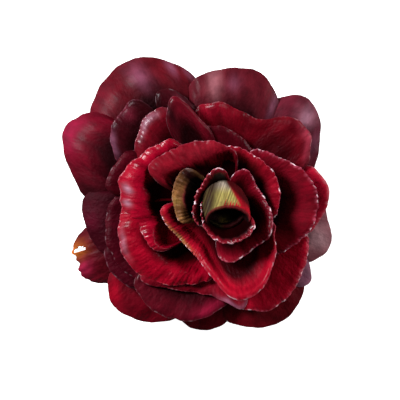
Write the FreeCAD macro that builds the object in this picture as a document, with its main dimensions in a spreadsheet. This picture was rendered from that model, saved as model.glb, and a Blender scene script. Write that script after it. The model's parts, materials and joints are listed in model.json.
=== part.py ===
import FreeCAD, Part
import Sketcher
import math
import os
from FreeCAD import Vector

# Rose hair clip, millimetres, +Z up. The rose faces +Z and lies on its sprung clip.
# The origin is on the rose's axis, level with the underside of the clip's lower arm.

doc = FreeCAD.newDocument("rose_hair_clip")
sheet = doc.addObject("Spreadsheet::Sheet", "sheet")

DIMENSIONS = {
    "clip_shift_x": -5.0,       # middle of the clip, under the rose's centre of mass
    "clip_shift_y": 2.5,
    "clip_tip": 26.0,           # reach of the jaws in front of the clip's middle
    "clip_lever": 24.0,         # reach of the levers behind it
    "clip_width": 10.0,
    "clip_height": 11.0,
    "sheet_thickness": 0.8,
    "slope_start": 12.0,        # where the upper arm starts to slope down to its tip
    "slope_end": 24.2,
    "jaw_gap": 0.3,
    "tip_rise": 1.1,            # underside of the upper arm's tip
    "pin_place": 9.0,           # behind the clip's middle
    "pin_height": 5.6,
    "pin_diameter": 1.5,
    "pin_head_diameter": 2.6,
    "pin_head_length": 0.5,
    "ear_radius": 2.9,
    "ear_foot": 6.0,            # half of the ears' length where they leave the arm
    "ear_clearance": 0.2,
    "bore_clearance": 0.05,
    "ridge_height": 0.45,
    "ridge_length": 0.7,
    "ridge_pitch": 2.0,
    "ridge_first": 22.0,
    "wire_diameter": 0.7,
    "coil_radius": 1.5,         # middle of the wire
    "coil_pitch": 0.85,
    "leg_reach": 11.0,          # from the pin to where the spring's legs press on the arms
    "felt_radius": 21.0,
    "felt_thickness": 1.5,
    "cap_radius": 10.0,
    "cap_thickness": 1.2,
    "core_base_radius": 4.6,
    "core_top_radius": 2.6,
    "core_length": 19.2,
    "core_used": 0.82,          # share of the core's length that petals are glued to
    "glue_gap": 0.1,            # from the core to the petals' feet
    "petal_thickness": 0.4,
    "petal_base_height": 14.6,  # where the lowest petals leave the core
    "petal_pitch": 0.76,        # rise from one layer's base to the next
    "top_layer": 23.0,          # number of the innermost layer, counted from 0
    "petal_top_height": 22.5,   # level that the lowest layer opens out to
    "petal_top_gain": 26.0,     # how much higher the innermost layer ends
    "petal_top_curve": 0.8,
    "bowl_radius": 38.0,        # size of the lowest layer's bowl
    "bowl_narrowing": 0.84,     # how much narrower the innermost layer's bowl is
    "bowl_narrowing_curve": 1.7,
    "bowl_steepness": 2.2,
    "droop_start": 28.0,        # distance from the rose's axis at which petals start to hang
    "droop_rate": 0.005,        # depth that they hang, for each squared millimetre beyond it
    "bud_wall": 0.8,
    "bud_centre_x": 0.5,
    "spring_turns": 4.0,        # whole turns, beside the part turn between its legs
    "bend_setback": 0.4,        # share of the strip's thickness by which its bends are set back
    "ridge_width_share": 0.8,   # share of the arm's width that its grip ridges take
}
for row, (alias, value) in enumerate(DIMENSIONS.items(), start=1):
    sheet.set(f"A{row}", alias)
    sheet.set(f"B{row}", str(value))
    sheet.setAlias(f"B{row}", alias)
doc.recompute()


def size(alias):
    """A driving dimension, read back from the sheet."""
    return float(sheet.get(alias))


def evaluate(formula):
    """A formula's present value."""
    return float(sheet.evalExpression(formula.replace("sheet.", "")))


# Each petal's layer on the core, the two bearings that its rim opens between, and how far the rim
# reaches from the rose's axis at even steps from the first bearing to the second. Bearings are in
# degrees anticlockwise from +X, and layer 0 is the lowest and outermost.
PETALS = {
    "outer_petal_right": (0, -35, 5, [36, 41, 41, 38, 37]),
    "outer_petal_top_left": (0, 105, 145, [53, 62, 66, 65, 62]),
    "outer_petal_left_lower": (0, 190, 210, [54, 60, 57, 60, 55]),
    "outer_petal_bottom": (0, 245, 270, [44, 46, 46, 43]),
    "outer_petal_top_right": (1, 25, 65, [37, 43, 49, 51, 45]),
    "outer_petal_bottom_left": (1, 210, 245, [50, 55, 54, 51, 46]),
    "outer_petal_bottom_right": (1, 270, 315, [42, 45, 47, 46, 42]),
    "outer_petal_top": (2, 65, 105, [46, 52, 52, 51, 49]),
    "outer_petal_left_upper": (2, 145, 175, [62, 67, 64, 58, 53]),
    "outer_petal_right_lower": (2, -45, -35, [41, 42, 38]),
    "outer_petal_left": (3, 175, 200, [53, 52, 49]),
    "second_petal_right": (3, -15, 25, [33, 37, 39, 36]),
    "second_petal_top": (3, 105, 120, [37, 47, 50]),
    "second_petal_left_thin": (4, 200, 220, [48, 48, 46]),
    "second_petal_top_left": (4, 130, 155, [53, 52, 51, 45]),
    "second_petal_left": (5, 175, 220, [42, 45, 45, 42]),
    "second_petal_top_right": (5, 30, 105, [36, 42, 41, 35, 36, 39, 39]),
    "second_petal_left_upper": (6, 150, 170, [42, 44, 45]),
    "second_petal_bottom_left": (6, 220, 270, [44, 46, 45, 42, 36]),
    "third_petal_bottom_right": (7, -80, -20, [38, 41, 39, 36, 33]),
    "third_petal_top_left": (7, 120, 150, [43, 45, 42, 39]),
    "third_petal_top": (8, 65, 105, [24, 27, 30, 31]),
    "third_petal_top_folded": (9, 105, 120, [32, 41, 46, 42]),
    "third_petal_bottom": (8, 220, 280, [41, 36, 33, 33, 38]),
    "third_petal_right": (10, -40, 60, [26, 31, 34, 33, 28, 25]),
    "third_petal_left_lower": (11, 180, 255, [38, 41, 40, 34, 28]),
    "third_petal_left": (13, 130, 210, [33, 36, 40, 38, 32, 31]),
    "inner_petal_right": (16, -5, 85, [19, 21, 22, 22, 23]),
    "inner_petal_bottom": (17, 185, 335, [24, 21, 20, 21, 26, 34, 31, 25, 20]),
    "inner_petal_top": (18, 85, 150, [22, 25, 27, 29, 32]),
    "heart_petal_right": (19, -85, 60, [20, 18, 19, 16, 14, 16]),
    "heart_petal_left": (20, 140, 190, [21, 20, 18]),
    "bud_wrap_left": (22, 105, 205, [15, 12, 12, 12]),
    "bud_wrap_bottom": (23, 180, 315, [9, 10, 12, 13, 13]),
}
FLANK = 9.0          # least degrees that a petal runs on past each end of its open rim
LEAST_FLANK = 6.0    # least length of that stretch
FLANK_REACH = 0.45   # how far from the axis a petal's side ends, as a share of its rim's
FLANK_ROUNDING = 2.5 # power by which a flank curves away from the rim
COLUMN_STEP = 4.0    # degrees between a petal's lines of points, about
LEAST_COLUMNS = 11
ROWS = 9             # points from the core to the rim
SPLINE_DEGREE = 3

# The bud's outside from its foot to its lip: middle in Y, height, half-width in X and in Y.
BUD_RINGS = [
    (0.5, 33.0, 2.4, 2.4),
    (0.8, 35.7, 5.0, 5.4),
    (0.5, 39.2, 7.2, 7.4),
    (-0.4, 42.1, 8.0, 7.6),
    (-2.2, 44.5, 7.6, 6.2),
]
HOLLOW_FROM = 2      # the ring at which the bud's hollow starts
BUD_MOUTH = (-2.8, 45.7, 7.2, 5.6)  # where the hollow's cutting shape ends, above the lip
RIDGES = 6           # grip ridges across the inside of the lower arm


def core_edge(layer):
    """Distance from the axis at which a layer's petals leave the core."""
    share = layer / size("top_layer")
    taper = size("core_base_radius") - size("core_top_radius")
    return size("core_base_radius") - taper * share * size("core_used") + size("glue_gap")


def layer_height(layer, radius):
    """Height of a layer's surface: nested bowls that flatten out beyond their walls and droop."""
    share = layer / size("top_layer")
    base = size("petal_base_height") + size("petal_pitch") * layer
    gain = size("petal_top_gain") * share ** size("petal_top_curve")
    top = size("petal_top_height") + gain
    narrowing = size("bowl_narrowing") * share ** size("bowl_narrowing_curve")
    bowl = size("bowl_radius") * (1.0 - narrowing)
    run = max(radius - core_edge(layer), 0.0) / bowl
    droop = size("droop_rate") * max(radius - size("droop_start"), 0.0) ** 2
    return base + (top - base) * (1.0 - math.exp(-run ** size("bowl_steepness"))) - droop


def curve_through(values, place):
    """A smooth curve through evenly spaced values, at a place counted in steps from the first."""
    last = len(values) - 1
    index = min(int(place), last - 1)
    before = values[max(index - 1, 0)]
    near, far = values[index], values[index + 1]
    after = values[min(index + 2, last)]
    along = place - index
    slope_near = (far - before) / 2
    slope_far = (after - near) / 2
    rise = far - near
    return (near + slope_near * along + (3 * rise - 2 * slope_near - slope_far) * along ** 2
            + (slope_near + slope_far - 2 * rise) * along ** 3)


def flank_of(reaches):
    """Degrees that a petal runs on past each end of its open rim."""
    return max(FLANK, math.degrees(LEAST_FLANK / min(reaches)))


def rim_radius(start, stop, reaches, bearing):
    """The rim's distance from the axis, with rounded flanks beyond its two ends."""
    past = max(start - bearing, bearing - stop, 0.0) / flank_of(reaches)
    inside = min(max(bearing, start), stop)
    place = (inside - start) / (stop - start) * (len(reaches) - 1)
    return curve_through(reaches, place) * (1.0 - (1.0 - FLANK_REACH) * past ** FLANK_ROUNDING)


def petal_point(layer, bearing, reach, share):
    """A point on a petal's upper face, at a share of the way from the core to its rim."""
    foot = core_edge(layer)
    radius = foot + (reach - foot) * share
    angle = math.radians(bearing)
    return Vector(radius * math.cos(angle), radius * math.sin(angle), layer_height(layer, radius))


def petal_faces(layer, start, stop, reaches):
    """The grids of points on a petal's upper and lower faces."""
    first = start - flank_of(reaches)
    span = stop - start + 2 * flank_of(reaches)
    columns = max(LEAST_COLUMNS, int(span / COLUMN_STEP))
    thick = size("petal_thickness")
    upper = []
    lower = []
    for column in range(columns):
        bearing = first + span * column / (columns - 1)
        reach = rim_radius(start, stop, reaches, bearing)
        line = [petal_point(layer, bearing, reach, row / (ROWS - 1)) for row in range(ROWS)]
        upper.append(line)
        lower.append([])
        for row, point in enumerate(line):
            before = line[max(row - 1, 0)]
            after = line[min(row + 1, ROWS - 1)]
            run = math.hypot(after.x - before.x, after.y - before.y)
            slope = (after.z - before.z) / run
            lower[-1].append(point - Vector(0, 0, thick * math.sqrt(1.0 + slope * slope)))
    return upper, lower


def clamped_knots(poles, degree):
    """Evenly spaced knots of a spline that starts and ends on its end poles."""
    spans = poles - degree
    multiplicities = [degree + 1] + [1] * (spans - 1) + [degree + 1]
    return [float(knot) for knot in range(spans + 1)], multiplicities


def spline_face(grid):
    """A smooth face that follows a grid of poles without overshooting it."""
    knots_u, multiplicities_u = clamped_knots(len(grid), SPLINE_DEGREE)
    knots_v, multiplicities_v = clamped_knots(len(grid[0]), SPLINE_DEGREE)
    surface = Part.BSplineSurface()
    surface.buildFromPolesMultsKnots(grid, multiplicities_u, multiplicities_v, knots_u, knots_v,
                                     False, False, SPLINE_DEGREE, SPLINE_DEGREE)
    return surface.toShape()


def petal_solid(petal):
    """A thin closed sheet: two spline faces joined by ruled edges."""
    upper, lower = (spline_face(grid) for grid in petal_faces(*petal))
    walls = [Part.makeRuledSurface(a, b) for a, b in zip(upper.Edges, lower.Edges)]
    shell = Part.Shell([upper, lower] + walls)
    shell.sewShape()
    solid = Part.Solid(shell)
    if solid.Volume < 0:
        solid.reverse()
    return solid


def add_feature(name, shape, place=Vector(0, 0, 0)):
    """A named object of the document that holds a finished shape."""
    feature = doc.addObject("Part::Feature", name)
    feature.Label = name
    feature.Shape = shape
    feature.Placement = FreeCAD.Placement(place, FreeCAD.Rotation())
    return feature


def make_petals():
    """Every petal of the rose, each on its own layer of the core."""
    return [add_feature(name, petal_solid(petal)) for name, petal in PETALS.items()]


def oval(centre_y, height, half_x, half_y):
    """A closed oval wire about the bud's leaning axis."""
    major, minor = max(half_x, half_y), min(half_x, half_y)
    turn = 90.0 if half_y > half_x else 0.0
    wire = Part.Wire(Part.Ellipse(Vector(0, 0, 0), major, minor).toShape())
    wire.rotate(Vector(0, 0, 0), Vector(0, 0, 1), turn)
    wire.translate(Vector(size("bud_centre_x"), centre_y, height))
    return wire


def make_bud_roll():
    """The rolled petal at the heart: a hollow bud that leans towards -Y and is open on top."""
    wall = size("bud_wall")
    outside = Part.makeLoft([oval(*ring) for ring in BUD_RINGS], True)
    inner_rings = BUD_RINGS[HOLLOW_FROM:] + [BUD_MOUTH]
    hollow = Part.makeLoft([oval(y, z, a - wall, b - wall) for y, z, a, b in inner_rings], True)
    return add_feature("bud_roll", outside.cut(hollow))


def make_disc(name, radius, thickness, height, shift=True):
    """A flat round piece whose sizes and place are bound to the sheet."""
    disc = doc.addObject("Part::Cylinder", name)
    disc.Label = name
    disc.setExpression("Radius", radius)
    disc.setExpression("Height", thickness)
    disc.setExpression("Placement.Base.z", height)
    if shift:
        disc.setExpression("Placement.Base.x", "sheet.clip_shift_x")
        disc.setExpression("Placement.Base.y", "sheet.clip_shift_y")
    return disc


def make_core():
    """The tapered core that the petals are glued round."""
    core = doc.addObject("Part::Cone", "flower_core")
    core.Label = "flower_core"
    core.setExpression("Radius1", "sheet.core_base_radius")
    core.setExpression("Radius2", "sheet.core_top_radius")
    core.setExpression("Height", "sheet.core_length")
    core.setExpression("Placement.Base.z", "sheet.clip_height + sheet.felt_thickness"
                       " + sheet.cap_thickness")
    return core


def new_body(name):
    """A body in the clip's own frame, whose X runs along the clip."""
    body = doc.addObject("PartDesign::Body", name)
    body.Label = name
    body.setExpression("Placement.Base.x", "sheet.clip_shift_x")
    body.setExpression("Placement.Base.y", "sheet.clip_shift_y")
    return body


def side_sketch(body, name):
    """An empty sketch on the body's side plane: X along the clip, Y up."""
    plane = next(f for f in body.Origin.OriginFeatures if f.Role == "XZ_Plane")
    sketch = body.newObject("Sketcher::SketchObject", name)
    sketch.AttachmentSupport = (plane, [""])
    sketch.MapMode = "FlatFace"
    return sketch


def bind(sketch, kind, geometry, point, formula):
    """Holds one point's distance from the sketch's origin to a formula of the sheet."""
    index = sketch.addConstraint(Sketcher.Constraint(kind, -1, 1, geometry, point, 1.0))
    sketch.setExpression(f"Constraints[{index}]", formula)


def outline(body, name, corners):
    """A closed outline through corners given as pairs of formulas."""
    sketch = side_sketch(body, name)
    rough = [Vector(evaluate(x), evaluate(z), 0) for x, z in corners]
    for index, start in enumerate(rough):
        end = rough[(index + 1) % len(rough)]
        sketch.addGeometry(Part.LineSegment(start, end), False)
    for index, (x, z) in enumerate(corners):
        following = (index + 1) % len(corners)
        sketch.addConstraint(Sketcher.Constraint("Coincident", index, 2, following, 1))
        bind(sketch, "DistanceX", index, 1, x)
        bind(sketch, "DistanceY", index, 1, z)
    return sketch


def circle(body, name, diameter):
    """A circle about the pin's axis."""
    sketch = side_sketch(body, name)
    centre = Vector(size("pin_place"), size("pin_height"), 0)
    sketch.addGeometry(Part.Circle(centre, Vector(0, 0, 1), evaluate(diameter) / 2), False)
    bind(sketch, "DistanceX", 0, 3, "sheet.pin_place")
    bind(sketch, "DistanceY", 0, 3, "sheet.pin_height")
    index = sketch.addConstraint(Sketcher.Constraint("Diameter", 0, 1.0))
    sketch.setExpression(f"Constraints[{index}]", diameter)
    return sketch


def extrude(body, kind, name, sketch, length):
    """A pad or pocket that runs equally to both sides of the clip's middle plane."""
    feature = body.newObject(kind, name)
    feature.Profile = sketch
    feature.setExpression("Length", length)
    feature.Midplane = True
    doc.recompute()
    return feature


def make_ears(body, name, foot, width):
    """Two round-ended ears round the pin: a block with its middle taken out."""
    blade = outline(body, name + "_blade", [
        ("sheet.pin_place - sheet.ear_foot", foot), ("sheet.pin_place + sheet.ear_foot", foot),
        ("sheet.pin_place + sheet.ear_radius", "sheet.pin_height"),
        ("sheet.pin_place - sheet.ear_radius", "sheet.pin_height")])
    extrude(body, "PartDesign::Pad", name + "_block", blade, width)
    extrude(body, "PartDesign::Pad", name + "_round",
            circle(body, name + "_end", "2 * sheet.ear_radius"), width)
    slot = outline(body, name + "_slot", [
        ("sheet.pin_place - 2 * sheet.ear_foot", "-sheet.clip_height"),
        ("sheet.pin_place + 2 * sheet.ear_foot", "-sheet.clip_height"),
        ("sheet.pin_place + 2 * sheet.ear_foot", "2 * sheet.clip_height"),
        ("sheet.pin_place - 2 * sheet.ear_foot", "2 * sheet.clip_height")])
    extrude(body, "PartDesign::Pocket", name + "_gap", slot,
            f"{width} - 2 * sheet.sheet_thickness")


def make_upper_arm():
    """The arm that is glued to the felt: flat on top, bent down to its tip."""
    body = new_body("clip_upper_arm")
    under = "sheet.clip_height - sheet.sheet_thickness"
    make_ears(body, "upper_ear", under, "sheet.clip_width")
    strip = outline(body, "upper_strip", [
        ("sheet.clip_lever", under), ("sheet.clip_lever", "sheet.clip_height"),
        ("-sheet.slope_start", "sheet.clip_height"),
        ("-sheet.slope_end", "sheet.tip_rise + sheet.sheet_thickness"),
        ("-sheet.clip_tip", "sheet.tip_rise + sheet.sheet_thickness"),
        ("-sheet.clip_tip", "sheet.tip_rise"),
        ("-sheet.slope_end + sheet.bend_setback * sheet.sheet_thickness", "sheet.tip_rise"),
        ("-sheet.slope_start + sheet.bend_setback * sheet.sheet_thickness", under)])
    extrude(body, "PartDesign::Pad", "upper_plate", strip, "sheet.clip_width")
    extrude(body, "PartDesign::Pocket", "upper_bore",
            circle(body, "upper_hole", "sheet.pin_diameter"), "2 * sheet.clip_width")
    return body


def make_lower_arm():
    """The arm that swings: flat underneath, with a row of grip ridges inside its tip."""
    body = new_body("clip_lower_arm")
    make_ears(body, "lower_ear", "sheet.sheet_thickness",
              "sheet.clip_width - 2 * sheet.sheet_thickness - 2 * sheet.ear_clearance")
    strip = outline(body, "lower_strip", [
        ("-sheet.clip_tip", "0"), ("sheet.clip_lever", "0"),
        ("sheet.clip_lever", "sheet.sheet_thickness"),
        ("-sheet.clip_tip", "sheet.sheet_thickness")])
    extrude(body, "PartDesign::Pad", "lower_plate", strip, "sheet.clip_width")
    ridge = outline(body, "ridge_side", [
        ("-sheet.ridge_first", "0.5 * sheet.sheet_thickness"),
        ("-sheet.ridge_first + sheet.ridge_length", "0.5 * sheet.sheet_thickness"),
        ("-sheet.ridge_first + 0.5 * sheet.ridge_length",
         "sheet.sheet_thickness + sheet.ridge_height")])
    tooth = extrude(body, "PartDesign::Pad", "ridge", ridge,
                    "sheet.ridge_width_share * sheet.clip_width")
    row = body.newObject("PartDesign::LinearPattern", "ridge_row")
    row.Originals = [tooth]
    row.Direction = (next(f for f in body.Origin.OriginFeatures if f.Role == "X_Axis"), [""])
    row.setExpression("Length", f"{RIDGES - 1} * sheet.ridge_pitch")
    row.Occurrences = RIDGES
    body.Tip = row
    doc.recompute()
    extrude(body, "PartDesign::Pocket", "lower_bore",
            circle(body, "lower_hole", "sheet.pin_diameter + 2 * sheet.bore_clearance"),
            "2 * sheet.clip_width")
    return body


def make_pin():
    """The hinge pin, a rivet with a head outside each of the upper arm's ears."""
    body = new_body("hinge_pin")
    extrude(body, "PartDesign::Pad", "pin_shank", circle(body, "shank_circle",
            "sheet.pin_diameter"), "sheet.clip_width + 2 * sheet.pin_head_length")
    heads = circle(body, "head_circle", "sheet.pin_head_diameter")
    extrude(body, "PartDesign::Pad", "pin_heads", heads,
            "sheet.clip_width + 2 * sheet.pin_head_length")
    ring = circle(body, "waist_outside", "2 * sheet.pin_head_diameter")
    ring.addGeometry(Part.Circle(Vector(size("pin_place"), size("pin_height"), 0),
                                 Vector(0, 0, 1), size("pin_diameter") / 2), False)
    ring.addConstraint(Sketcher.Constraint("Coincident", 0, 3, 1, 3))
    index = ring.addConstraint(Sketcher.Constraint("Diameter", 1, 1.0))
    ring.setExpression(f"Constraints[{index}]", "sheet.pin_diameter")
    extrude(body, "PartDesign::Pocket", "pin_waist", ring, "sheet.clip_width")
    return body


def make_spring():
    """A torsion spring wound round the pin, with a leg on each arm behind it."""
    wire = size("wire_diameter")
    radius = size("coil_radius")
    reach = size("leg_reach")
    under = size("clip_height") - size("sheet_thickness") - wire / 2 - size("pin_height")
    bearing = math.atan2(under, reach)
    start = bearing + math.acos(radius / math.hypot(under, reach))
    turns = size("spring_turns") + 1.0 - start / math.pi
    length = turns * size("coil_pitch")
    helix = Part.makeHelix(size("coil_pitch"), length, radius)
    helix.rotate(Vector(0, 0, 0), Vector(0, 0, 1), math.degrees(start))
    helix.rotate(Vector(0, 0, 0), Vector(1, 0, 0), 90)
    helix.translate(Vector(0, length / 2, 0))
    top = helix.Edges[0].Vertexes[0].Point
    bottom = helix.Edges[-1].Vertexes[-1].Point
    top_end = Vector(reach, top.y, under)
    bottom_end = Vector(reach, bottom.y, -under)
    path = Part.Wire([Part.makeLine(top_end, top)] + helix.Edges
                     + [Part.makeLine(bottom, bottom_end)])
    section = Part.Wire(Part.makeCircle(wire / 2, top_end, top - top_end))
    spring = path.makePipeShell([section], True, True)
    place = Vector(size("clip_shift_x") + size("pin_place"), size("clip_shift_y"),
                   size("pin_height"))
    return add_feature("torsion_spring", spring, place)


def check(pieces):
    """Stops before writing if any object failed or any piece isn't one valid solid."""
    for item in doc.Objects:
        if "Invalid" in item.State or "Error" in item.State:
            raise RuntimeError(f"{item.Name} failed: {item.State}")
    for piece in pieces:
        shape = piece.Shape
        if shape.isNull() or not shape.isValid() or len(shape.Solids) != 1:
            raise RuntimeError(f"{piece.Label} isn't one valid solid: {len(shape.Solids)}")
        if shape.Volume <= 0:
            raise RuntimeError(f"{piece.Label} is inside out")


def main():
    pieces = [
        make_upper_arm(), make_lower_arm(), make_pin(), make_spring(),
        make_disc("felt_disc", "sheet.felt_radius", "sheet.felt_thickness",
                  "sheet.clip_height"),
        make_disc("petal_cap", "sheet.cap_radius", "sheet.cap_thickness",
                  "sheet.clip_height + sheet.felt_thickness", shift=False),
        make_core(), make_bud_roll()]
    pieces += make_petals()
    doc.recompute()
    check(pieces)
    os.makedirs("parts", exist_ok=True)
    for piece in pieces:
        piece.Shape.exportStep(f"parts/{piece.Label}.step")
        box = piece.Shape.BoundBox
        print(f"{piece.Label:28s} {piece.Shape.Volume:9.2f} mm3  z {box.ZMin:6.2f} {box.ZMax:6.2f}")


main()
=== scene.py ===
import json
import math

import bpy
import numpy as np
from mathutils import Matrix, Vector


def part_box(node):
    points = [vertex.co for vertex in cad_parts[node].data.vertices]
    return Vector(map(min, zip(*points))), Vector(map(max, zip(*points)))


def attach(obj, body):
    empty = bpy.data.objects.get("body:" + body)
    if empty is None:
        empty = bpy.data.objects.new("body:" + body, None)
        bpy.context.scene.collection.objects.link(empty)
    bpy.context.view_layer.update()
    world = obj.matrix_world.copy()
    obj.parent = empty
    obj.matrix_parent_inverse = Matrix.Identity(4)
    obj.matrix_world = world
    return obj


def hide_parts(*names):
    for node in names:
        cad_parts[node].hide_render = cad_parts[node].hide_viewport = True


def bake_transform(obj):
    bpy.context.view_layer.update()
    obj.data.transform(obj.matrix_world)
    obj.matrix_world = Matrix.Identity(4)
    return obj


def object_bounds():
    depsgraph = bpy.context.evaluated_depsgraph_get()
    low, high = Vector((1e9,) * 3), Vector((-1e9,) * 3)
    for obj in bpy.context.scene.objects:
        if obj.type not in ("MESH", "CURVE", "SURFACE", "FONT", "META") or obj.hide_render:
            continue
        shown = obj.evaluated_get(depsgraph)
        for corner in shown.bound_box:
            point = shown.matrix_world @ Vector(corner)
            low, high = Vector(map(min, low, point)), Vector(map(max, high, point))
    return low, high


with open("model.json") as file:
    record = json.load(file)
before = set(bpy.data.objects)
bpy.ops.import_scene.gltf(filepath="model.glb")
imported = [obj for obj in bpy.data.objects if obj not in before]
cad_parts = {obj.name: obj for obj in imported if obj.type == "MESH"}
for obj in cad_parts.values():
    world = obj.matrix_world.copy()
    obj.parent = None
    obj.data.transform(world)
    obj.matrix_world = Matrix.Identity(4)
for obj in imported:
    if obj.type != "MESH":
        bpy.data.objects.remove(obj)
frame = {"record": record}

CAD_LOW, CAD_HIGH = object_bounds()
MM = 0.001
TINY = 1e-6

# The rose is built in millimetres about its axis, as the CAD model is, and scaled to metres at the
# end. The petals' outlines and layers and the core come from the frame. The rest are the CAD
# model's own sizes, repeated.
CORE_LOW, CORE_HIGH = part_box("flower_core")
CORE_RADIUS = (CORE_HIGH.x - CORE_LOW.x) / 2 / MM
CORE_TAPER = 2.0
CORE_USED = 0.82
GLUE_GAP = 0.1
BASE_HEIGHT = CORE_LOW.z / MM + 0.9
PETAL_THICKNESS = 0.4
LAYER_PITCH = 0.76
TOP_LAYER = 23.0
TOP_HEIGHT = 22.5
TOP_GAIN = 26.0
TOP_CURVE = 0.8
BOWL_RADIUS = 38.0
BOWL_NARROWING = 0.84
NARROWING_CURVE = 1.7
BOWL_STEEPNESS = 2.2
DROOP_START = 28.0
DROOP_RATE = 0.005

# Colours, linear light.
ROSE_EDGE = (0.50, 0.10, 0.16)
# Pale pink for the rim line: partly the rim's worn colour, partly a painted highlight.
PALE_EDGE_HIGHLIGHT = (0.70, 0.32, 0.38)
# Partly the petals' own bloom, partly painted sheen.
MAUVE_BLOOM_AND_SHEEN = (0.22, 0.075, 0.13)
# A painted highlight.
LILAC_HIGHLIGHT = (0.46, 0.26, 0.34)
GLINT = (1.0, 0.80, 0.86)
# Painted shadow.
BLACK_RED_SHADOW = (0.012, 0.001, 0.002)
ORANGE = (0.55, 0.15, 0.02)
OLIVE = (0.30, 0.20, 0.045)

# How each petal is shaped and coloured beyond its layer and outline. Lengths in millimetres.
# fold: how far inside the rim the petal starts to roll over, at even steps from its first bearing
# to its last; roll: how much the rim drops for each millimetre of fold; dive: how much deeper the
# petal lies inside the fold; wave, pleat and crinkle: heights of slow, radial and fine ripples;
# bead: size of the lumps on the rim; lobes and ragged: how uneven the outline is, slowly and finely;
# colour: its ground; deep: the share of it left where its painted shade is darkest; bright and
# dark: how far inside the rim the painted shade starts and is darkest; fade: how much light it
# keeps at its ends, where painted shade darkens it; edge, edge_share and edge_width: colour,
# strength and width of the line along the rim, partly its paler worn colour and partly a painted
# highlight on the rim's lumps; glint: how bright the painted glints along the rim are; rough: how
# rough the surface is; coat: how strong the clear coat on it is; veins: how strong the veins are;
# patches: bearing, distance inside the rim, half-widths in degrees and millimetres, strength,
# colour; some are the petal's own colour, some painted sheen and highlights, some painted shadow.
PLAIN = dict(colour=(0.12, 0.003, 0.01), deep=0.07, bright=3.0, dark=13.0, edge=ROSE_EDGE,
             edge_share=0.5, edge_width=0.35, fold=[2.2], roll=0.5, dive=0.0, wave=0.4,
             pleat=0.05, crinkle=0.03, bead=0.08, lobes=0.3, ragged=0.08, rough=0.42, coat=0.12,
             fade=0.2, glint=0.12, veins=1.0, patches=())
OUTER = dict(fold=[12.0], roll=0.26, wave=0.6, pleat=0.04, crinkle=0.03, bead=0.0,
             ragged=0.05, lobes=0.22, glint=0.0, veins=0.25, fade=0.8, coat=0.06, edge_share=0.3,
             edge=(0.25, 0.03, 0.05), rough=0.5, bright=5.0, dark=19.0, deep=0.08)
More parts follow.
